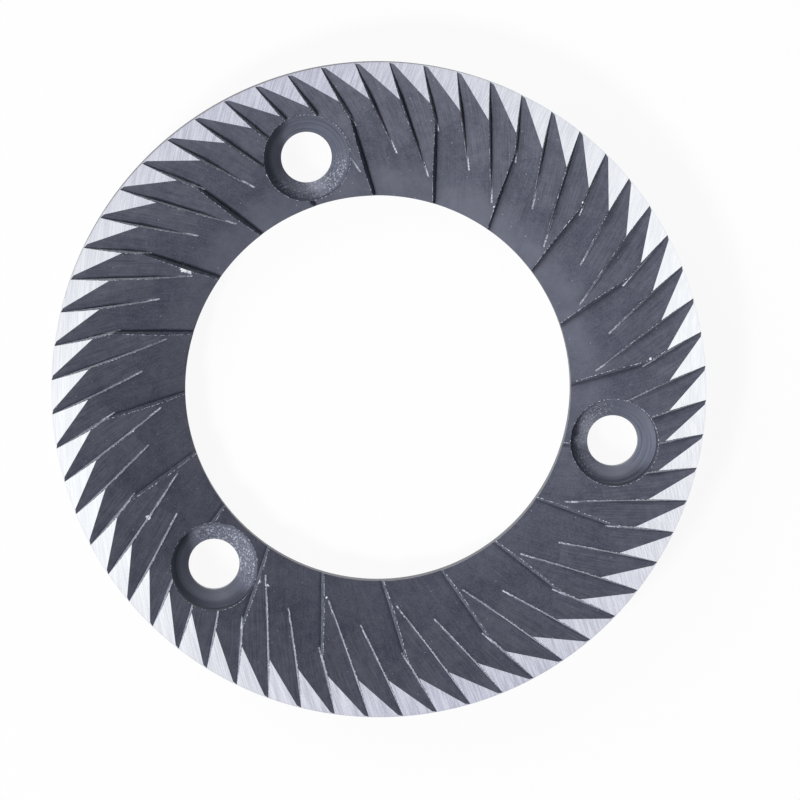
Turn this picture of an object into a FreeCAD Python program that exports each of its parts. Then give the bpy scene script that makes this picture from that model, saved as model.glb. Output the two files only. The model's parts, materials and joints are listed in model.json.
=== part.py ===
import FreeCAD, Part
import Sketcher
import os

# Flat grinding burr of a coffee grinder, one hardened steel ring.
# The axis of the ring is Z, the back face lies at Z = 0 and the teeth look up.
# The first screw hole stands on +Y.

os.makedirs("parts", exist_ok=True)
doc = FreeCAD.newDocument("burr")

# Sizes, all in mm and degrees
# Each row is the alias, the value and what it measures.
sheet = doc.addObject("Spreadsheet::Sheet", "Sizes")
size_rows = [
    ("outer_dia", 64.0, "outside diameter"),
    ("bore_dia", 37.8, "centre bore"),
    ("thickness", 9.0, "back face to ground lands"),
    ("back_break", 0.5, "chamfer on both back edges"),
    ("rim_break", 0.15, "fine edge break around the outside of the lands"),
    ("tooth_count", 60, "fine saw teeth around the ring"),
    ("tooth_offset", 11.375, "distance of the tooth root line from the axis, in plan"),
    ("tooth_turn", 4.12, "root line of the first tooth, clockwise from +Y"),
    ("tooth_rim_depth", 0.117, "depth of the root below the lands at the rim"),
    ("tooth_fall", 0.204, "drop of the root for each mm inward"),
    ("tooth_back_angle", 25.0, "slope of the tooth back, across the groove"),
    ("tooth_face_lean", 8.7, "lean of the cutting face from upright"),
    ("tooth_start", 17.2, "inner end of the groove cut, from the axis"),
    ("tooth_run", 16.2, "length of the groove cut, measured flat"),
    ("channel_count", 20, "breaker channels around the bore"),
    ("channel_offset", 5.258, "distance of the channel root line from the axis, in plan"),
    ("channel_turn", 0.12, "root line of the first channel, clockwise from +Y"),
    ("channel_mark", 26.44, "radius at which the channel depth is given"),
    ("channel_mark_depth", 1.277, "depth of the channel root at that radius"),
    ("channel_fall", 0.448, "drop of the channel root for each mm inward"),
    ("channel_back_angle", 17.07, "slope of the channel floor at its root, across the channel"),
    ("channel_hollow", 55.0, "radius of the hollow ground floor, across the channel"),
    ("channel_face_lean", 15.0, "lean of the channel face from upright"),
    ("channel_start", 14.0, "inner end of the channel cut, from the axis"),
    ("channel_run", 16.4, "length of the channel cut, measured flat"),
    ("screw_count", 3, "fixing screws"),
    ("screw_web", 4.75, "screw axis, outward from the bore wall"),
    ("screw_dia", 5.0, "clearance hole of the screw shank"),
    ("seat_dia", 8.4, "top of the conical seat"),
    ("seat_depth", 4.8, "top of the conical seat, below the lands"),
    ("seat_half_angle", 45.0, "half angle of the conical seat"),
    ("well_lean", 0.6, "lean of the wall of the head well, opening upward"),
    ("screw_back_break", 0.3, "chamfer of the screw hole on the back face"),
    ("over", 1.0, "how far the cutting sections stand clear of the ring"),
]
sheet.set("A1", "size")
sheet.set("B1", "value")
sheet.set("C1", "what it measures")
for row_index, (alias, value, meaning) in enumerate(size_rows):
    row = str(row_index + 2)
    sheet.set("A" + row, alias)
    sheet.set("B" + row, str(value))
    sheet.set("C" + row, meaning)
    sheet.setAlias("B" + row, alias)
doc.recompute()

body = doc.addObject("PartDesign::Body", "burr_body")
origin_planes = {}
for feature in body.Origin.OriginFeatures:
    origin_planes[feature.Role] = feature


def vec(x_value, y_value):
    return FreeCAD.Vector(x_value, y_value, 0.0)


def new_sketch(name, plane_role):
    sketch = body.newObject("Sketcher::SketchObject", name)
    sketch.AttachmentSupport = [(origin_planes[plane_role], "")]
    sketch.MapMode = "FlatFace"
    return sketch


def closed_outline(sketch, points):
    lines = []
    for index, start in enumerate(points):
        end = points[(index + 1) % len(points)]
        lines.append(sketch.addGeometry(Part.LineSegment(vec(*start), vec(*end)), False))
    for index, line in enumerate(lines):
        following = lines[(index + 1) % len(lines)]
        sketch.addConstraint(Sketcher.Constraint("Coincident", line, 2, following, 1))
    return lines


def hold(sketch, kind, references, name, formula, start_value):
    constraint = sketch.addConstraint(Sketcher.Constraint(kind, *references, start_value))
    sketch.renameConstraint(constraint, name)
    sketch.setExpression("Constraints." + name, formula)
    return constraint


ORIGIN_POINT = (-1, 1)

# Ring blank: the half section is revolved about Z.
# The back edges and the rim are broken in the section itself.
blank = new_sketch("blank_section", "XZ_Plane")
blank_points = [
    (19.4, 0.0), (31.5, 0.0), (32.0, 0.5), (32.0, 8.85), (31.85, 9.0), (18.9, 9.0), (18.9, 0.5)]
(back_line, outer_break, outer_wall, rim_line,
 land_line, bore_wall, bore_break) = closed_outline(blank, blank_points)
blank.addConstraint(Sketcher.Constraint("Horizontal", back_line))
blank.addConstraint(Sketcher.Constraint("Vertical", outer_wall))
blank.addConstraint(Sketcher.Constraint("Horizontal", land_line))
blank.addConstraint(Sketcher.Constraint("Vertical", bore_wall))
blank.addConstraint(Sketcher.Constraint("PointOnObject", back_line, 1, -1))
hold(blank, "DistanceX", (*ORIGIN_POINT, outer_wall, 1), "outer_radius", "Sizes.outer_dia / 2", 32.0)
hold(blank, "DistanceX", (*ORIGIN_POINT, bore_wall, 1), "bore_radius", "Sizes.bore_dia / 2", 18.9)
hold(blank, "DistanceY", (*ORIGIN_POINT, land_line, 1), "land_height", "Sizes.thickness", 9.0)
hold(blank, "DistanceX", (rim_line, 2, rim_line, 1), "rim_break_wide", "Sizes.rim_break", 0.15)
hold(blank, "DistanceY", (rim_line, 1, rim_line, 2), "rim_break_tall", "Sizes.rim_break", 0.15)
hold(blank, "DistanceX", (back_line, 2, outer_wall, 1), "outer_break_wide", "Sizes.back_break", 0.5)
hold(blank, "DistanceY", (back_line, 2, outer_wall, 1), "outer_break_tall", "Sizes.back_break", 0.5)
hold(blank, "DistanceX", (bore_wall, 2, back_line, 1), "bore_break_wide", "Sizes.back_break", 0.5)
hold(blank, "DistanceY", (back_line, 1, bore_wall, 2), "bore_break_tall", "Sizes.back_break", 0.5)
doc.recompute()

ring = body.newObject("PartDesign::Revolution", "ring_blank")
ring.Profile = blank
ring.ReferenceAxis = (blank, ["V_Axis"])
ring.Angle = 360.0
doc.recompute()


def place_section(sketch, family):
    # The section stands upright across the root line, at the inner end of the cut.
    turn = "(Sizes." + family + "_turn * 1 deg)"
    start = "Sizes." + family + "_start"
    sketch.AttachmentOffset = FreeCAD.Placement(
        FreeCAD.Vector(0, 0, 0), FreeCAD.Rotation(FreeCAD.Vector(0, 1, 0), -1.0))
    sketch.setExpression("AttachmentOffset.Rotation.Angle", "-1 * " + turn)
    sketch.setExpression("AttachmentOffset.Base.x", start + " * sin" + turn)
    sketch.setExpression("AttachmentOffset.Base.z", "-1 * " + start + " * cos" + turn)


def run_cut(name, sketch, family, run_value):
    # The cut follows the root line outward and upward, out through the rim.
    cut = body.newObject("PartDesign::Pocket", name)
    cut.Profile = sketch
    cut.UseCustomVector = True
    cut.AlongSketchNormal = True
    turn = "(Sizes." + family + "_turn * 1 deg)"
    cut.Direction = FreeCAD.Vector(0.0, 1.0, 0.2)
    cut.setExpression("Direction.x", "sin" + turn)
    cut.setExpression("Direction.y", "cos" + turn)
    cut.setExpression("Direction.z", "Sizes." + family + "_fall")
    cut.Length = run_value
    cut.setExpression("Length", "Sizes." + family + "_run")
    return cut


def ring_pattern(name, original, count_alias, count_value):
    pattern = body.newObject("PartDesign::PolarPattern", name)
    pattern.Originals = [original]
    pattern.Axis = (origin_planes["Z_Axis"], [""])
    pattern.Angle = 360.0
    pattern.Occurrences = count_value
    pattern.setExpression("Occurrences", "Sizes." + count_alias)
    body.Tip = pattern
    doc.recompute()
    return pattern


# Breaker channels: a steep face and a hollow ground floor that climbs to the next face.
# The floor falls toward the bore, so the channel opens into it.
channel = new_sketch("channel_section", "XZ_Plane")
place_section(channel, "channel")
channel_face = channel.addGeometry(Part.LineSegment(vec(3.22, 10.0), vec(5.258, 2.38)), False)
channel_floor = channel.addGeometry(
    Part.Arc(
        FreeCAD.Vector(5.258, 2.38, 0),
        FreeCAD.Vector(12.9, 5.4, 0),
        FreeCAD.Vector(20.7, 10.0, 0)), False)
channel_lid = channel.addGeometry(Part.LineSegment(vec(20.7, 10.0), vec(3.22, 10.0)), False)
channel.addConstraint(Sketcher.Constraint("Coincident", channel_face, 2, channel_floor, 1))
channel.addConstraint(Sketcher.Constraint("Coincident", channel_floor, 2, channel_lid, 1))
channel.addConstraint(Sketcher.Constraint("Coincident", channel_lid, 2, channel_face, 1))
channel.addConstraint(Sketcher.Constraint("Horizontal", channel_lid))
hold(channel, "DistanceX", (*ORIGIN_POINT, channel_face, 2), "root_offset", "Sizes.channel_offset", 5.258)
hold(channel, "DistanceY", (*ORIGIN_POINT, channel_face, 2), "root_height",
     "Sizes.thickness - Sizes.channel_mark_depth - Sizes.channel_fall"
     " * (sqrt(Sizes.channel_mark ^ 2 - Sizes.channel_offset ^ 2) - Sizes.channel_start)", 2.38)
hold(channel, "DistanceY", (*ORIGIN_POINT, channel_face, 1), "lid_height",
     "Sizes.thickness + Sizes.over", 10.0)
hold(channel, "DistanceX", (channel_face, 1, channel_face, 2), "face_lean",
     "(Constraints.lid_height - Constraints.root_height) * tan(Sizes.channel_face_lean * 1 deg)", 2.04)
hold(channel, "Radius", (channel_floor,), "floor_radius", "Sizes.channel_hollow", 55.0)
hold(channel, "DistanceX", (channel_floor, 3, channel_floor, 1), "floor_slope",
     "Sizes.channel_hollow * sin(Sizes.channel_back_angle * 1 deg)", 16.1)
doc.recompute()

channel_cut = run_cut("channel_cut", channel, "channel", 16.4)
doc.recompute()
channel_ring = ring_pattern("channel_ring", channel_cut, "channel_count", 20)

# Fine saw teeth: a steep cutting face and a flat back that leaves a narrow ground land at the rim.
tooth = new_sketch("tooth_section", "XZ_Plane")
place_section(tooth, "tooth")
tooth_points = [(10.8, 10.0), (11.375, 6.29), (19.3, 10.0)]
tooth_face, tooth_back, tooth_lid = closed_outline(tooth, tooth_points)
tooth.addConstraint(Sketcher.Constraint("Horizontal", tooth_lid))
hold(tooth, "DistanceX", (*ORIGIN_POINT, tooth_face, 2), "root_offset", "Sizes.tooth_offset", 11.375)
hold(tooth, "DistanceY", (*ORIGIN_POINT, tooth_face, 2), "root_height",
     "Sizes.thickness - Sizes.tooth_rim_depth - Sizes.tooth_fall"
     " * (sqrt((Sizes.outer_dia / 2) ^ 2 - Sizes.tooth_offset ^ 2) - Sizes.tooth_start)", 6.29)
hold(tooth, "DistanceY", (*ORIGIN_POINT, tooth_face, 1), "lid_height", "Sizes.thickness + Sizes.over", 10.0)
hold(tooth, "DistanceX", (tooth_face, 1, tooth_face, 2), "face_lean",
     "(Constraints.lid_height - Constraints.root_height) * tan(Sizes.tooth_face_lean * 1 deg)", 0.567)
hold(tooth, "DistanceX", (tooth_face, 2, tooth_back, 2), "back_wide",
     "(Constraints.lid_height - Constraints.root_height) / tan(Sizes.tooth_back_angle * 1 deg)", 7.95)
doc.recompute()

tooth_cut = run_cut("tooth_cut", tooth, "tooth", 16.2)
doc.recompute()
tooth_ring = ring_pattern("tooth_ring", tooth_cut, "tooth_count", 60)

# Screw holes: a clearance hole, a conical seat and a well for the head, turned about the hole axis.
screw = new_sketch("screw_section", "YZ_Plane")
screw.AttachmentOffset = FreeCAD.Placement(FreeCAD.Vector(23.65, 0, 0), FreeCAD.Rotation())
screw.setExpression("AttachmentOffset.Base.x", "Sizes.bore_dia / 2 + Sizes.screw_web")
screw_points = [(0.0, -1.0), (3.8, -1.0), (2.5, 0.3), (2.5, 2.5), (4.2, 4.2), (4.26, 10.0), (0.0, 10.0)]
(screw_foot, screw_break, screw_shank, screw_cone,
 well_wall, screw_top, screw_axis) = closed_outline(screw, screw_points)
screw.addConstraint(Sketcher.Constraint("Horizontal", screw_foot))
screw.addConstraint(Sketcher.Constraint("Vertical", screw_shank))
screw.addConstraint(Sketcher.Constraint("Horizontal", screw_top))
screw.addConstraint(Sketcher.Constraint("PointOnObject", screw_axis, 1, -2))
screw.addConstraint(Sketcher.Constraint("PointOnObject", screw_axis, 2, -2))
hold(screw, "DistanceY", (screw_foot, 1, *ORIGIN_POINT), "foot_clear", "Sizes.over", 1.0)
hold(screw, "DistanceX", (screw_foot, 1, screw_foot, 2), "foot_wide",
     "Sizes.screw_dia / 2 + Sizes.screw_back_break + Sizes.over", 3.8)
hold(screw, "DistanceX", (*ORIGIN_POINT, screw_shank, 1), "shank_radius", "Sizes.screw_dia / 2", 2.5)
hold(screw, "DistanceY", (*ORIGIN_POINT, screw_shank, 1), "break_tall", "Sizes.screw_back_break", 0.3)
hold(screw, "DistanceX", (*ORIGIN_POINT, screw_cone, 2), "seat_radius", "Sizes.seat_dia / 2", 4.2)
hold(screw, "DistanceY", (*ORIGIN_POINT, screw_cone, 2), "seat_height", "Sizes.thickness - Sizes.seat_depth", 4.2)
hold(screw, "DistanceY", (screw_shank, 2, screw_cone, 2), "seat_tall",
     "(Sizes.seat_dia - Sizes.screw_dia) / 2 / tan(Sizes.seat_half_angle * 1 deg)", 1.7)
hold(screw, "DistanceX", (well_wall, 1, well_wall, 2), "well_lean_wide",
     "(Sizes.seat_depth + Sizes.over) * tan(Sizes.well_lean * 1 deg)", 0.06)
hold(screw, "DistanceY", (*ORIGIN_POINT, well_wall, 2), "mouth_height", "Sizes.thickness + Sizes.over", 10.0)
doc.recompute()

screw_hole = body.newObject("PartDesign::Groove", "screw_hole")
screw_hole.Profile = screw
screw_hole.ReferenceAxis = (screw, ["V_Axis"])
screw_hole.Angle = 360.0
doc.recompute()
screw_ring = ring_pattern("screw_ring", screw_hole, "screw_count", 3)

# Every feature must have built before anything is written.
for item in doc.Objects:
    if "Invalid" in item.State or "Error" in item.State:
        raise RuntimeError(item.Name + " did not build")
    if item.isDerivedFrom("PartDesign::Feature"):
        if item.Shape.isNull() or not item.Shape.isValid():
            raise RuntimeError(item.Name + " has a bad shape")
if len(body.Shape.Solids) != 1:
    raise RuntimeError("the burr must be one solid")

body.Label = "burr"
body.Shape.exportStep("parts/burr.step")
print("volume", round(body.Shape.Volume, 1), "faces", len(body.Shape.Faces))
print("box", body.Shape.BoundBox)
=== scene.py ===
import bpy
import bmesh
import json
import math
from mathutils import Matrix, Vector

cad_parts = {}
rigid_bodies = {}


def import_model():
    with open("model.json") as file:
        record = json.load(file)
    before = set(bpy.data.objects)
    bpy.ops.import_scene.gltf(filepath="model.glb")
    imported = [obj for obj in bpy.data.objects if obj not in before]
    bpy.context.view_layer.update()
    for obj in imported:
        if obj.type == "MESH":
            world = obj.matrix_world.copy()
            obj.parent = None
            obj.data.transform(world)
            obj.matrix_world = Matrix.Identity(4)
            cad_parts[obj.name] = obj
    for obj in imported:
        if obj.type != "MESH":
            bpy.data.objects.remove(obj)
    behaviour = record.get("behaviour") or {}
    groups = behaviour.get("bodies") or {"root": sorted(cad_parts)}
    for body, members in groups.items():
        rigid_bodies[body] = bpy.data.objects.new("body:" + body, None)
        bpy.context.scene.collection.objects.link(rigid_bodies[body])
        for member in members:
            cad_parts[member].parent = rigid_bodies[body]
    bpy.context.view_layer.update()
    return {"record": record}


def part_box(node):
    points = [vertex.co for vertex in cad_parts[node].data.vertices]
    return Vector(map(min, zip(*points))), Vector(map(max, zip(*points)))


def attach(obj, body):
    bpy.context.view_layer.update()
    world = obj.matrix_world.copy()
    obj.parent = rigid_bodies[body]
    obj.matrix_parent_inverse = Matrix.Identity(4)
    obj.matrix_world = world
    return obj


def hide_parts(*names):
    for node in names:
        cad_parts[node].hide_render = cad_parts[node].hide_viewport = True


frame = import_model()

# Ring blank
# The burr is one turned ring of hardened tool steel, 64 mm across.
# Its back edges carry a chamfer and the rim of the grinding face a fine edge break.
MM = 0.001
mounts = {mount["name"]: mount for mount in frame["record"]["mounts"]}
ring_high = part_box("burr")[1]
rim_radius = ring_high.x
land_height = ring_high.z
bore_radius = mounts["bore"]["dims"]["r_mm"] * MM
back_break = 0.5 * MM
rim_break = 0.15 * MM
ring_facets = 360
weld_gap = 0.002 * MM
full_turn = 2 * math.pi
quarter_turn = math.radians(90)

bpy.ops.object.select_all(action="DESELECT")
bpy.ops.mesh.primitive_plane_add(
    size=1.0, location=((bore_radius + rim_radius) / 2, 0.0, land_height / 2),
    rotation=(quarter_turn, 0.0, 0.0))
ring = bpy.context.object
ring.name = "burr_ring"
bpy.ops.transform.resize(value=(rim_radius - bore_radius, 1.0, land_height))
bpy.ops.object.transform_apply(location=True, rotation=True, scale=True)


def choose_corners(piece, wanted):
    """Selects the corners whose place passes the test, and leaves the piece in edit mode."""
    bpy.context.view_layer.objects.active = piece
    bpy.ops.object.mode_set(mode="EDIT")
    bpy.ops.mesh.select_mode(type="VERT")
    bpy.ops.mesh.select_all(action="DESELECT")
    shape = bmesh.from_edit_mesh(piece.data)
    for corner in shape.verts:
        corner.select_set(wanted(corner.co))
    bmesh.update_edit_mesh(piece.data)


choose_corners(ring, lambda place: place.z < land_height / 2)
bpy.ops.mesh.bevel(offset=back_break, affect="VERTICES")
bpy.ops.object.mode_set(mode="OBJECT")
choose_corners(
    ring, lambda place: place.z > land_height / 2 and place.x > rim_radius - rim_break)
bpy.ops.mesh.bevel(offset=rim_break, affect="VERTICES")
bpy.ops.mesh.select_all(action="SELECT")
bpy.ops.mesh.delete(type="ONLY_FACE")
bpy.ops.mesh.select_all(action="SELECT")
bpy.ops.mesh.spin(
    steps=ring_facets, angle=full_turn, center=(0.0, 0.0, 0.0), axis=(0.0, 0.0, 1.0),
    use_auto_merge=True)
bpy.ops.mesh.select_all(action="SELECT")
bpy.ops.mesh.remove_doubles(threshold=weld_gap)
bpy.ops.mesh.normals_make_consistent(inside=False)
bpy.ops.object.mode_set(mode="OBJECT")

# Breaker channels
# Twenty deep channels crush the beans first. A cutter wheel of 55 mm radius hollows each one,
# with a steep face on one side, and its floor falls toward the bore.
channel_count = 20
channel_offset = 5.258 * MM
channel_turn = math.radians(0.12)
channel_mark = 26.44 * MM
channel_mark_depth = 1.277 * MM
channel_fall = 0.448
channel_back_angle = math.radians(17.07)
channel_hollow = 55.0 * MM
channel_face_lean = math.radians(15.0)
channel_start = 14.0 * MM
channel_run = 16.4 * MM
wheel_facets = 720
on_plane = 0.0001 * MM

cutters = bpy.data.collections.new("burr_cutters")
bpy.context.scene.collection.children.link(cutters)


def keep_side(piece, place, normal):
    """Cuts a solid through a place and keeps the side that the normal points to."""
    bpy.context.view_layer.objects.active = piece
    bpy.ops.object.mode_set(mode="EDIT")
    bpy.ops.mesh.select_all(action="SELECT")
    bpy.ops.mesh.bisect(
        plane_co=place, plane_no=normal, use_fill=True, clear_inner=True, threshold=on_plane)
    bpy.ops.object.mode_set(mode="OBJECT")


def place_copies(piece, turn, count):
    """Turns a cutter to its first place and sets its copies evenly round the ring."""
    for number in range(count):
        copy = piece.copy()
        copy.data = piece.data.copy()
        copy.data.transform(Matrix.Rotation(-turn - number * full_turn / count, 4, "Z"))
        cutters.objects.link(copy)
    bpy.data.objects.remove(piece)


channel_slope = math.atan(channel_fall)
channel_root = land_height - channel_mark_depth - channel_fall * (
    math.sqrt(channel_mark ** 2 - channel_offset ** 2) - channel_start)
channel_middle = channel_start + channel_run / 2
channel_root_middle = channel_root + channel_fall * channel_run / 2
wheel_x = channel_offset - channel_hollow * math.sin(channel_back_angle)
wheel_z = channel_root_middle + channel_hollow * math.cos(channel_back_angle)
bpy.ops.object.select_all(action="DESELECT")
bpy.ops.mesh.primitive_cylinder_add(
    vertices=wheel_facets, radius=channel_hollow, depth=2 * (channel_run + channel_hollow),
    location=(0.0, 0.0, 0.0), end_fill_type="NGON")
wheel = bpy.context.object
wheel.name = "channel_cutter"
bpy.ops.transform.resize(value=(1.0, math.cos(channel_slope), 1.0))
bpy.ops.object.transform_apply(location=True, rotation=True, scale=True)
wheel.data.transform(
    Matrix.Translation((wheel_x, channel_middle, wheel_z))
    @ Matrix.Rotation(channel_slope - quarter_turn, 4, "X"))
root_place = Vector((channel_offset, channel_middle, channel_root_middle))
root_line = Vector((0.0, 1.0, channel_fall))
face_line = Vector((-math.tan(channel_face_lean), 0.0, 1.0))
keep_side(wheel, root_place, root_line.cross(face_line))
keep_side(wheel, (0.0, channel_start, 0.0), (0.0, 1.0, 0.0))
keep_side(wheel, (0.0, channel_start + channel_run, 0.0), (0.0, -1.0, 0.0))
keep_side(wheel, (0.0, 0.0, 2 * land_height), (0.0, 0.0, -1.0))
place_copies(wheel, channel_turn, channel_count)

# Fine saw teeth
# Sixty shallow grooves run out through the rim and set the final grind.
# Each has a steep cutting face, and a flat back that leaves a narrow ground land.
tooth_count = 60
tooth_offset = 11.375 * MM
tooth_turn = math.radians(4.12)
tooth_rim_depth = 0.117 * MM
tooth_fall = 0.204
tooth_back_angle = math.radians(25.0)
tooth_face_lean = math.radians(8.7)
tooth_start = 17.2 * MM
tooth_run = 16.2 * MM
tooth_over = 1.0 * MM

tooth_root = land_height - tooth_rim_depth - tooth_fall * (
    math.sqrt(rim_radius ** 2 - tooth_offset ** 2) - tooth_start)
bpy.ops.object.select_all(action="DESELECT")
bpy.ops.mesh.primitive_cube_add(
    size=tooth_run,
    location=(
        tooth_offset, tooth_start + tooth_run / 2, land_height + tooth_over - tooth_run / 2))
bit = bpy.context.object
bit.name = "tooth_cutter"
bpy.ops.object.transform_apply(location=True, rotation=True, scale=True)
root_place = Vector((tooth_offset, tooth_start, tooth_root))
root_line = Vector((0.0, 1.0, tooth_fall))
face_line = Vector((-math.tan(tooth_face_lean), 0.0, 1.0))
back_line = Vector((math.cos(tooth_back_angle), 0.0, math.sin(tooth_back_angle)))
tooth_face_rise = root_line.cross(face_line).normalized().z
tooth_back_rise = back_line.cross(root_line).normalized().z
keep_side(bit, root_place, root_line.cross(face_line))
keep_side(bit, root_place, back_line.cross(root_line))
place_copies(bit, tooth_turn, tooth_count)

# Screw seats
# Three countersunk screws hold the ring on its carrier. Each hole has a conical seat,
# and over it a plain well that the screw head sinks into.
screw_count = mounts["screws"]["dims"]["count"]
screw_ring = mounts["screws"]["dims"]["pcd_mm"] / 2 * MM
shank_radius = mounts["screws"]["dims"]["hole_r_mm"] * MM
seat_radius = 4.2 * MM
seat_depth = 4.8 * MM
seat_height = land_height - seat_depth
well_radius = 4.26 * MM
screw_break = 0.3 * MM
screw_over = 1.0 * MM
screw_facets = 192

bpy.ops.object.select_all(action="DESELECT")
bpy.ops.mesh.primitive_circle_add(
    vertices=screw_facets, radius=shank_radius + screw_break + screw_over, fill_type="NGON",
    location=(0.0, screw_ring, -screw_over))
drill = bpy.context.object
drill.name = "screw_cutter"
bpy.ops.object.transform_apply(location=True, rotation=True, scale=True)
bpy.ops.object.mode_set(mode="EDIT")
bpy.ops.mesh.select_mode(type="FACE")
bpy.ops.mesh.select_all(action="SELECT")
drill_steps = [
    (screw_break, shank_radius),
    (seat_height - (seat_radius - shank_radius), shank_radius),
    (seat_height, seat_radius),
    (land_height + screw_over, well_radius),
]
low, wide = -screw_over, shank_radius + screw_break + screw_over
for high, next_wide in drill_steps:
    bpy.ops.mesh.extrude_region_move(TRANSFORM_OT_translate={"value": (0.0, 0.0, high - low)})
    bpy.ops.transform.resize(
        value=(next_wide / wide, next_wide / wide, 1.0), center_override=(0.0, screw_ring, high))
    low, wide = high, next_wide
bpy.ops.mesh.select_all(action="SELECT")
bpy.ops.mesh.normals_make_consistent(inside=False)
bpy.ops.object.mode_set(mode="OBJECT")
place_copies(drill, 0.0, screw_count)

# Cut ring
# The channels, the teeth and the screw seats are cut out of the blank in one step,
# so the lines where they cross come out of the cuts themselves, as on the real ring.
bpy.ops.object.select_all(action="DESELECT")
ring.select_set(True)
bpy.context.view_layer.objects.active = ring
cut = ring.modifiers.new("cut", "BOOLEAN")
cut.operation = "DIFFERENCE"
cut.operand_type = "COLLECTION"
cut.collection = cutters
cut.solver = "MANIFOLD"
bpy.ops.object.modifier_apply(modifier="cut")
for cutter in list(cutters.objects):
    bpy.data.objects.remove(cutter)
bpy.data.collections.remove(cutters)

# Edge finish
# The cutting edges and the rims of the wells are slightly broken, where the coat wears off first.
# The steel is ground bright, cut and coated dark, or turned, by where it lies on the ring.
edge_break = 0.055 * MM
edge_turn = math.radians(50)
smooth_turn = math.radians(11)
near = 0.01 * MM
same_rise = 0.002
wall_rise = 0.5
finish_names = [
    "channel_steel", "tooth_steel", "channel_face", "tooth_face", "ground_steel", "worn_edge",
    "seat_steel", "turned_steel"]
ring.data.materials.clear()
for name in finish_names:
    finish = bpy.data.materials.new(name)
    finish.use_nodes = True
    ring.data.materials.append(finish)
screw_places = [
    Matrix.Rotation(-number * full_turn / screw_count, 3, "Z") @ Vector((0.0, screw_ring, 0.0))
    for number in range(screw_count)]


def finish_of(face):
    """Tells a face's finish from where it lies and which way it looks."""
    reach = [corner.co.xy.length for corner in face.verts]
    middle = face.calc_center_median()
    if middle.z < back_break and face.normal.z < -wall_rise:
        return "ground_steel"
    for screw in screw_places:
        if max((corner.co.xy - screw.xy).length for corner in face.verts) < well_radius + near:
            return "seat_steel"
    if middle.z > land_height - rim_break and min(reach) > rim_radius - rim_break - near:
        return "ground_steel"
    if min(reach) > rim_radius - rim_break - near or max(reach) < bore_radius + near:
        return "turned_steel"
    if middle.z > land_height - near:
        return "ground_steel"
    if abs(face.normal.z - tooth_face_rise) < same_rise:
        return "tooth_face"
    if abs(face.normal.z - tooth_back_rise) < same_rise:
        return "tooth_steel"
    return "channel_face" if face.normal.z < wall_rise else "channel_steel"


def wears(edge):
    """Tells the edges that lose their coat: sharp outer ones, apart from the bore's and rim's."""
    reach = [corner.co.xy.length for corner in edge.verts]
    inside = max(reach) > bore_radius + near and min(reach) < rim_radius - rim_break - near
    return inside and edge.calc_face_angle_signed() > edge_turn


shape = bmesh.new()
shape.from_mesh(ring.data)
marks = shape.edges.layers.float.new("bevel_weight_edge")
for edge in shape.edges:
    edge[marks] = float(wears(edge))
for face in shape.faces:
    face.material_index = finish_names.index(finish_of(face))
shape.to_mesh(ring.data)
shape.free()
edges = ring.modifiers.new("edge_break", "BEVEL")
edges.limit_method = "WEIGHT"
edges.width = edge_break
edges.segments = 2
edges.use_clamp_overlap = False
edges.material = finish_names.index("worn_edge")
bpy.ops.object.modifier_apply(modifier="edge_break")
bpy.ops.object.shade_smooth_by_angle(angle=smooth_turn)
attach(ring, "root")
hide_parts("burr")

# Ground steel
# The lands are ground after hardening, so they show bright bare steel, and the back is ground duller.
# The wheel leaves fine scratches in long arcs that all swing about one far centre.
# The lands are also painted brighter toward two opposite bearings and duller between them: a painted sheen.
photo_turn = math.radians(17.19)
scratch_reach = 83.0
scratch_x = scratch_reach * math.cos(photo_turn)
scratch_y = -scratch_reach * math.sin(photo_turn)
painted_sheen_bearing = math.radians(74) + photo_turn
low_sheen_dark = (0.425, 0.435, 0.535, 1.0)
low_sheen_light = (0.64, 0.65, 0.75, 1.0)
high_sheen_dark = (0.835, 0.86, 0.905, 1.0)
high_sheen_light = (0.945, 0.962, 0.985, 1.0)
back_dark = (0.33, 0.34, 0.37, 1.0)
back_light = (0.50, 0.51, 0.54, 1.0)
scratch_depth = 0.0006 * MM


class Wire:
    """One output of a node, or only the tree. Sums and products of wires add Math nodes."""

    def __init__(self, tree, socket=None):
        self.tree = tree
        self.socket = socket

    def node(self, kind, settings, sockets, output=0):
        """Adds a node of any kind. Its settings are made before its sockets are filled."""
        made = self.tree.nodes.new("ShaderNode" + kind)
        for name, value in settings.items():
            setattr(made, name, value)
        for name, value in sockets.items():
            if isinstance(value, Wire):
                self.tree.links.new(value.socket, made.inputs[name])
            else:
                made.inputs[name].default_value = value
        return Wire(self.tree, made.outputs[output])

    def beside(self, name):
        """Another output of the same node."""
        return Wire(self.tree, self.socket.node.outputs[name])

    def math(self, operation, *others):
        """Adds a Math node that works on this and the others, in their order."""
        sockets = dict(enumerate([self, *others]))
        return self.node("Math", {"operation": operation}, sockets)

    def __add__(self, other):
        return self.math("ADD", other)

    def __sub__(self, other):
        return self.math("SUBTRACT", other)

    def __mul__(self, other):
        return self.math("MULTIPLY", other)

    def __truediv__(self, other):
        return self.math("DIVIDE", other)

    def __rsub__(self, other):
        return self * -1.0 + other

    def __rtruediv__(self, other):
        return self.math("POWER", -1.0) * other

    __radd__ = __add__
    __rmul__ = __mul__

    def ramp(self, low, high, start=0.0, end=1.0):
        """Climbs smoothly from start to end while this goes from low to high."""
        return self.node(
            "MapRange", {"interpolation_type": "SMOOTHSTEP"},
            {"Value": self, "From Min": low, "From Max": high, "To Min": start, "To Max": end})

    def noise(self, second, third, detail=2.0):
        """Noise between 0 and 1 over this and two other values, all scaled already."""
        spot = self.node("CombineXYZ", {}, {"X": self, "Y": second, "Z": third})
        return self.node("TexNoise", {}, {"Vector": spot, "Scale": 1.0, "Detail": detail})

    def mix(self, first, second):
        """Mixes two colours by this, over the node's colour sockets 6 and 7."""
        return self.node("Mix", {"data_type": "RGBA"}, {0: self, 6: first, 7: second}, 2)


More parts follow.
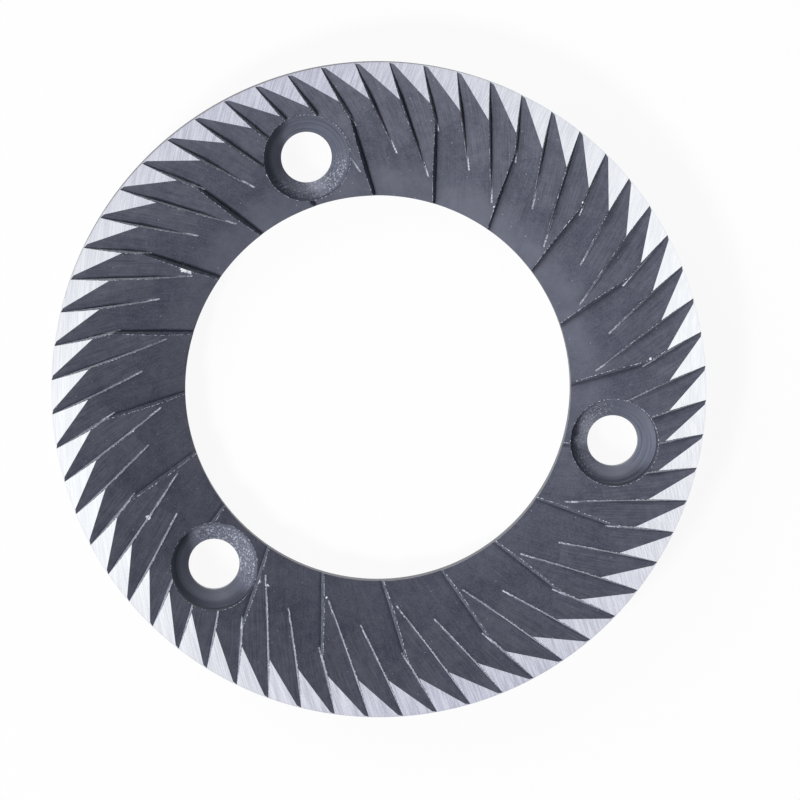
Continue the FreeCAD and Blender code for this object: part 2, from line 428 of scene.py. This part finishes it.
def start_finish(name):
    """Gives a finish's shader and the X, Y and Z of its points in millimetres."""
    tree = bpy.data.materials[name].node_tree
    spot = Wire(tree).node("TexCoord", {}, {}, "Object")
    return tree.nodes["Principled BSDF"], [
        spot.node("SeparateXYZ", {}, {"Vector": spot}, number) / MM for number in range(3)]


def fill_finish(shader, color, roughness, height, depth, metallic, shine=0.5):
    """Fills a shader. The height is a pattern, and depth is what 1 of it stands for in metres."""
    links = color.tree.links
    links.new(color.socket, shader.inputs["Base Color"])
    links.new(roughness.socket, shader.inputs["Roughness"])
    bump = height.node("Bump", {}, {"Height": height, "Distance": depth})
    links.new(bump.socket, shader.inputs["Normal"])
    shader.inputs["Metallic"].default_value = metallic
    shader.inputs["Specular IOR Level"].default_value = shine


shader, (x, y, z) = start_finish("ground_steel")
reach = ((x - scratch_x) * (x - scratch_x) + (y - scratch_y) * (y - scratch_y)).math("SQRT")
swing = (y - scratch_y).math("ARCTAN2", scratch_x - x) * scratch_reach
fine_scratch = (reach * 9.0).noise(swing * 0.35, 1.0, 3.0)
broad_scratch = (reach * 2.2).noise(swing * 0.15, 5.0)
scratch = (fine_scratch * 0.7 + broad_scratch * 0.3).ramp(0.3, 0.7)
# Painted sheen: the land colour is brighter toward two opposite bearings, as the scratches' gloss would be.
painted_sheen = ((x.math("ARCTAN2", y) - painted_sheen_bearing) * 2.0).math("COSINE") * 0.5 + 0.5
mottle = (x * 5.0).noise(y * 5.0, 2.0, 3.0)
tone = (scratch * 0.55 + mottle * 0.45).ramp(0.2, 0.8)
land_color = painted_sheen.mix(tone.mix(low_sheen_dark, low_sheen_light), tone.mix(high_sheen_dark, high_sheen_light))
ground_color = z.ramp(0.6, 8.0).mix(tone.mix(back_dark, back_light), land_color)
fill_finish(
    shader, ground_color, broad_scratch.ramp(0.3, 0.7, 0.13, 0.19), scratch, scratch_depth,
    metallic=1.0)

# Dark steel of the grooves
# The grooves are cut before the ring is hardened and coated a dark bluish grey. The coat is thinner and
# paler near the bore, and made paler still on one side as painted light, where the lamp lights the floors.
# The foot of each steep face is darkened as painted shadow. Along the edges stand specks, lips and chips of
# bare steel.
dark_low = (0.041, 0.045, 0.070, 1.0)
dark_high = (0.109, 0.115, 0.152, 1.0)
warm_low = (0.047, 0.050, 0.075, 1.0)
warm_high = (0.124, 0.130, 0.168, 1.0)
bare_steel = (0.66, 0.69, 0.80, 1.0)
fresh_steel = (0.88, 0.90, 0.96, 1.0)
thin_and_painted_light_coat = (0.150, 0.158, 0.203, 1.0)
painted_corner_shadow = (0.022, 0.025, 0.040, 1.0)
painted_light_bearing = math.radians(18) + photo_turn
dark_metallic = 0.1
dark_shine = 0.18
grain_depth = 0.003 * MM
tooth_inner_ends = (23.2, 20.1, 17.95)
tooth_lead = 0.3
lip_middle = 0.02
lip_reach = 1.7
faint_lip_reach = 5.0
nicks = [
    (301.7, 22.41, 0.42), (301.9, 21.78, 0.31), (241.0, 25.75, 0.27), (211.9, 22.13, 0.22),
    (209.5, 22.07, 0.17), (194.0, 21.07, 0.14), (260.5, 24.35, 0.12), (32.4, 21.08, 0.12),
    (47.4, 27.03, 0.12), (83.5, 26.72, 0.15), (332.5, 23.63, 0.10)]


def groove_places(x, y, count, offset, turn, lead=0.0):
    """Gives the length along the nearest groove, the length across it, and its number.

    The lead is the share of the step before a groove's root line that counts as its own.
    """
    step = full_turn / count
    reach = (x * x + y * y).math("SQRT")
    bearing = x.math("ARCTAN2", y)
    passed = bearing - turn - (offset / reach).math("ARCSINE")
    number = (passed / step + lead).math("FLOOR")
    local = bearing - turn - number * step
    return reach * local.math("COSINE"), reach * local.math("SINE") - offset, number


def nearest_tooth(x, y):
    """Gives the length beyond the inner end of the nearest tooth, across it, and its number.

    Each of the three teeth of a channel has its inner end at a reach of its own.
    """
    along, across, number = groove_places(
        x, y, tooth_count, tooth_offset / MM, tooth_turn, tooth_lead)
    kind = number.math("FLOORED_MODULO", float(len(tooth_inner_ends)))
    first, second, third = tooth_inner_ends
    inner_end = (
        kind.math("MINIMUM", 1.0) * (second - first)
        + (kind - 1.0).math("MAXIMUM", 0.0) * (third - second) + first)
    return along - inner_end, across, number


def tooth_lip(beyond, across, number):
    """The lip of bare steel that the cutter leaves along the inner end of a tooth."""
    line = (across - lip_middle).math("ABSOLUTE").ramp(0.11, 0.05) * beyond.ramp(0.0, 0.1)
    broken = (beyond * 5.0).noise(number * 5.1, across * 5.0, 3.0).ramp(0.3, 0.6)
    fresh = (beyond * 0.4).noise(number * 9.7, 2.0).ramp(0.35, 0.65, 0.2, 0.75)
    bright = beyond.ramp(lip_reach, lip_reach - 0.5) * broken * fresh
    faint = beyond.ramp(faint_lip_reach, faint_lip_reach - 2.0) * broken * across.ramp(-0.03, 0.02)
    return line * (bright + faint * 0.25).math("MINIMUM", 1.0)


def speckle(x, y, z, share):
    """Small round specks. The share tells how many of the unit cells hold one."""
    spot = x.node("CombineXYZ", {}, {"X": x, "Y": y, "Z": z})
    away = x.node("TexVoronoi", {}, {"Vector": spot, "Scale": 1.0})
    return away.ramp(0.15, 0.03) * away.beside("Color").ramp(1.0 - share, 1.1 - share)


def chipped(x, y):
    """Ragged spots where the edges are chipped to fresh steel, by bearing, reach and size."""
    ragged = ((x * 4.0).noise(y * 4.0, 3.0) - 0.5) * 1.6
    spots = []
    for bearing, reach, size in nicks:
        turn = math.radians(bearing) + photo_turn
        aside, beyond = x - reach * math.sin(turn), y - reach * math.cos(turn)
        away = (aside * aside + beyond * beyond).math("SQRT") + ragged * size
        spots.append(away.ramp(size, size * 0.6))
    total = spots[0]
    for spot in spots[1:]:
        total = total.math("MAXIMUM", spot)
    return total


def fill_groove(name, count, offset, turn, line_share, low, high, painted_shadow_width):
    """Finishes the floors of one kind of groove, whose cutter's lines run along it."""
    shader, (x, y, z) = start_finish(name)
    along, across, number = groove_places(x, y, count, offset / MM, turn)
    number = number.math("FLOORED_MODULO", float(count))
    lines = (across * 8.0).noise(along * 0.3, number * 7.3, 3.0)
    patches = (x * 0.3).noise(y * 0.3, z * 0.3, 3.0)
    mottle = (x * 1.3).noise(y * 1.3, number * 3.1, 2.0)
    grain = (x * 6.0).noise(y * 6.0, z * 6.0, 3.0)
    shade = lines * line_share + patches * 0.2 + mottle * 0.2 + grain * (0.6 - line_share)
    # Painted light: near the bore the coat is paler all round from wear, and much paler on the side the
    # lamp lights.
    painted_lit_side = (x.math("ARCTAN2", y) - painted_light_bearing).math("COSINE").ramp(-0.3, 0.6, 0.14, 0.65)
    near_bore = (x * x + y * y).math("SQRT").ramp(23.0, 20.3)
    thin_and_painted_light_share = painted_lit_side * near_bore * patches.ramp(0.3, 0.7, 0.6, 1.0)
    coat = thin_and_painted_light_share.mix(shade.ramp(0.3, 0.7).mix(low, high), thin_and_painted_light_coat)
    # Painted shadow: the floor is darkened next to the foot of the steep face, where the face casts its
    # shadow.
    coat = across.ramp(painted_shadow_width, 0.0, 0.0, 0.5).mix(coat, painted_corner_shadow)
    beyond, beside_tooth, tooth = nearest_tooth(x, y)
    ridge = (
        beside_tooth.ramp(-0.35, -0.05) * beside_tooth.ramp(0.1, -0.05) * beyond.ramp(-0.1, 0.2))
    specks = speckle(x * 2.2, y * 2.2, z * 2.2, 0.25)
    bare = (specks * 0.6).math("MAXIMUM", tooth_lip(beyond, beside_tooth, tooth))
    chips = chipped(x, y)
    fill_finish(
        shader, chips.mix(bare.mix(coat, bare_steel), fresh_steel),
        shade.ramp(0.3, 0.7, 0.52, 0.44),
        lines * 0.6 + grain * 0.4 + ridge * 12.0 - chips * 6.0, grain_depth,
        dark_metallic, dark_shine)


fill_groove(
    "tooth_steel", tooth_count, tooth_offset, tooth_turn, line_share=0.35,
    low=warm_low, high=warm_high, painted_shadow_width=0.2)
fill_groove(
    "channel_steel", channel_count, channel_offset, channel_turn, line_share=0.2,
    low=dark_low, high=dark_high, painted_shadow_width=0.4)

# Faces of the channels and teeth
# The steep face of a channel keeps a thinner and paler coat than its floor.
# The cutting face of a fine tooth is ground sharp after the coating, and is pale bare steel.
face_low = (0.115, 0.126, 0.168, 1.0)
face_high = (0.22, 0.236, 0.29, 1.0)
pale_low = (0.40, 0.42, 0.48, 1.0)
pale_high = (0.74, 0.76, 0.82, 1.0)
for name, low, high in (
        ("channel_face", face_low, face_high), ("tooth_face", pale_low, pale_high)):
    shader, (x, y, z) = start_finish(name)
    grain = (x * 3.0).noise(y * 3.0, z * 3.0, 3.0)
    tone = grain.ramp(0.3, 0.7).mix(low, high)
    fill_finish(
        shader, tone, grain.ramp(0.3, 0.7, 0.6, 0.5), grain, grain_depth,
        metallic=0.0, shine=0.0)

# Worn edges
# The cutting edges and the rims of the wells have lost the coat in places.
# Small bright specks of bare steel stand in a line along them.
channel_edge = (0.085, 0.093, 0.125, 1.0)
tooth_edge = (0.25, 0.265, 0.32, 1.0)
wear_depth = 0.004 * MM
shader, (x, y, z) = start_finish("worn_edge")
beside_tooth = nearest_tooth(x, y)[1]
on_tooth = beside_tooth.math("ABSOLUTE").ramp(0.14, 0.09)
specks = (x * 6.0).noise(y * 6.0, z * 6.0, 2.0)
bare = specks.ramp(0.51, 0.62)
edge_coat = on_tooth.mix(channel_edge, tooth_edge)
fill_finish(
    shader, chipped(x, y).mix(bare.mix(edge_coat, bare_steel), fresh_steel),
    bare.ramp(0.0, 1.0, 0.5, 0.4), specks, wear_depth, metallic=0.0, shine=0.0)

# Finish of the screw seats
# The wells and seats are bored after the grooves, and their turning lines run round the screw. The bore
# side of each seat is rough, where the tool broke through the channel floor. One side of each seat, the
# same on all three, is painted lighter where the well's rim casts its shadow: painted light.
seat_low = (0.116, 0.126, 0.172, 1.0)
seat_high = (0.21, 0.223, 0.284, 1.0)
painted_light_seat_bearing = math.radians(232) + photo_turn
turning_depth = 0.006 * MM
shader, (x, y, z) = start_finish("seat_steel")
bearing = x.math("ARCTAN2", y)
step = full_turn / screw_count
screw_bearing = (bearing / step).math("ROUND") * step
local = bearing - screw_bearing
reach = (x * x + y * y).math("SQRT")
outward = reach * local.math("COSINE") - screw_ring / MM
sideways = reach * local.math("SINE")
screw_reach = (outward * outward + sideways * sideways).math("SQRT")
around = sideways.math("ARCTAN2", outward)
turned = (screw_reach * 5.5).noise(around * 0.7, 4.0, 3.0)
rough = (x * 9.0).noise(y * 9.0, z * 9.0, 3.0)
inner_side = outward.ramp(0.1, -2.2) * screw_reach.ramp(4.2, 3.8)
grit = (x * 5.0).noise(y * 5.0, z * 5.0, 1.0).ramp(0.56, 0.64)
torn = inner_side * (rough.ramp(0.46, 0.66) * 0.4).math("MAXIMUM", grit)
# Painted light: the inner part of each seat is lightened on the side where the rim's shadow falls.
painted_lit_seat_side = (around + screw_bearing - painted_light_seat_bearing).math("COSINE").ramp(-0.3, 0.5)
painted_seat_light = screw_reach.ramp(3.9, 3.2) * painted_lit_seat_side * rough.ramp(0.2, 0.6, 0.75, 1.0)
# The bare share holds the torn steel and the painted light.
bare = torn * 0.75 + painted_seat_light * 0.48
wall = z.ramp(seat_height / MM, seat_height / MM + 0.2)
seat_coat = (turned * 0.8 + rough * 0.2).ramp(0.25, 0.75).mix(seat_low, seat_high)
fill_finish(
    shader, wall.mix(bare.mix(seat_coat, bare_steel), dark_low), turned.ramp(0.3, 0.7, 0.5, 0.4),
    turned * 0.6 + rough * 0.4, turning_depth, dark_metallic, dark_shine)

# Turned steel
# The outside and the bore are turned and coated, and keep faint lines round the ring.
shader, (x, y, z) = start_finish("turned_steel")
bearing = x.math("ARCTAN2", y)
rings = (z * 8.0).noise(bearing * 3.0, 2.0, 3.0)
patches = (x * 0.25).noise(y * 0.25, z * 0.25)
fill_finish(
    shader, (rings * 0.6 + patches * 0.4).ramp(0.3, 0.7).mix(dark_low, dark_high),
    rings.ramp(0.3, 0.7, 0.46, 0.36), rings, turning_depth, dark_metallic, dark_shine)

# Floor
# A plain white sheet under the ring. It keeps the ring's shadow.
# It is clear from below, so the back of the ring shows there.
floor_white = (0.9, 0.9, 0.9, 1.0)
pure_white = (1.0, 1.0, 1.0, 1.0)
floor_side = 4.0
floor_gap = 0.02 * MM
floor_glow = 0.93


def seen_rays(tree):
    """Tells the rays from the camera, gloss and glass from those that carry light."""
    camera_ray = Wire(tree).node("LightPath", {}, {}, "Is Camera Ray")
    seen = camera_ray.math("MAXIMUM", camera_ray.beside("Is Glossy Ray"))
    return seen.math("MAXIMUM", camera_ray.beside("Is Transmission Ray"))


bpy.ops.object.select_all(action="DESELECT")
bpy.ops.mesh.primitive_plane_add(size=floor_side, location=(0.0, 0.0, -floor_gap))
floor = bpy.context.object
floor.name = "floor"
floor_finish = bpy.data.materials.new("floor_white")
floor_finish.use_nodes = True
tree = floor_finish.node_tree
shader = tree.nodes["Principled BSDF"]
shader.inputs["Base Color"].default_value = floor_white
shader.inputs["Roughness"].default_value = 0.9
paper = Wire(tree, shader.outputs["BSDF"])
glow = paper.node("Emission", {}, {"Color": pure_white, "Strength": 1.0})
clear = paper.node("BsdfTransparent", {}, {})
below = paper.node("NewGeometry", {}, {}, "Backfacing")
sheet = paper.node("MixShader", {}, {0: seen_rays(tree) * floor_glow, 1: paper, 2: glow})
sheet = paper.node("MixShader", {}, {0: below, 1: sheet, 2: clear})
tree.links.new(sheet.socket, tree.nodes["Material Output"].inputs["Surface"])
floor.data.materials.append(floor_finish)

# Light
# A white room shows round the ring and in its gloss, and lights it a little. The main lamp hangs high at
# the picture's lower left, and a broad weak one at its upper left throws no glare on the lands.
room_light = 0.10
world = bpy.data.worlds.new("studio")
bpy.context.scene.world = world
world.use_nodes = True
tree = world.node_tree
strength = room_light + seen_rays(tree) * (1.0 - room_light)
tree.links.new(strength.socket, tree.nodes["Background"].inputs["Strength"])
tree.nodes["Background"].inputs["Color"].default_value = pure_white


def toward(bearing, rise, distance):
    """A place round the ring, by its bearing clockwise from the picture's top and its rise."""
    turn = math.radians(bearing) + photo_turn
    lift = math.radians(rise)
    return distance * Vector((
        math.sin(turn) * math.cos(lift), math.cos(turn) * math.cos(lift), math.sin(lift)))


def hang_lamp(name, bearing, rise, distance, size, level):
    """Hangs a square lamp that lights a white sheet facing it to a level, where 1 is white."""
    lamp = bpy.data.lights.new(name, "AREA")
    lamp.size = size
    lamp.energy = level * (math.pi * distance) ** 2
    holder = bpy.data.objects.new(name, lamp)
    holder.location = toward(bearing, rise, distance)
    holder.rotation_euler = holder.location.to_track_quat("Z", "Y").to_euler()
    bpy.context.scene.collection.objects.link(holder)
    return holder


hang_lamp("key_lamp", bearing=227, rise=58, distance=0.80, size=0.13, level=0.70)
side_lamp = hang_lamp("side_lamp", bearing=311, rise=47, distance=0.90, size=0.60, level=0.42)
side_lamp.visible_glossy = False

# Camera
# It looks almost straight down on the teeth, from a little over one metre.
# Its frame is the photograph's, with the middle of the ring at the named pixel.
photo_side = 800
camera_distance = 1.2
camera_rise = 87.5
camera_bearing = -25
middle_pixel = (379.05, 390.1)
pixels_per_metre = 10245
lens = bpy.data.cameras.new("photo_camera")
camera = bpy.data.objects.new("photo_camera", lens)
bpy.context.scene.collection.objects.link(camera)
back = toward(camera_bearing, camera_rise, 1.0)
up = toward(0, 0, 1.0)
up = (up - back * up.dot(back)).normalized()
turn = Matrix((up.cross(back), up, back)).transposed().to_4x4()
target = Vector((0.0, 0.0, land_height))
camera.matrix_world = Matrix.Translation(target + back * camera_distance) @ turn
lens.lens = pixels_per_metre * camera_distance / photo_side * lens.sensor_width
lens.shift_x = (photo_side / 2 - middle_pixel[0]) / photo_side
lens.shift_y = (middle_pixel[1] - photo_side / 2) / photo_side
lens.clip_start = 0.01
lens.clip_end = 10.0
bpy.context.scene.camera = camera
bpy.context.scene.view_settings.view_transform = "Standard"
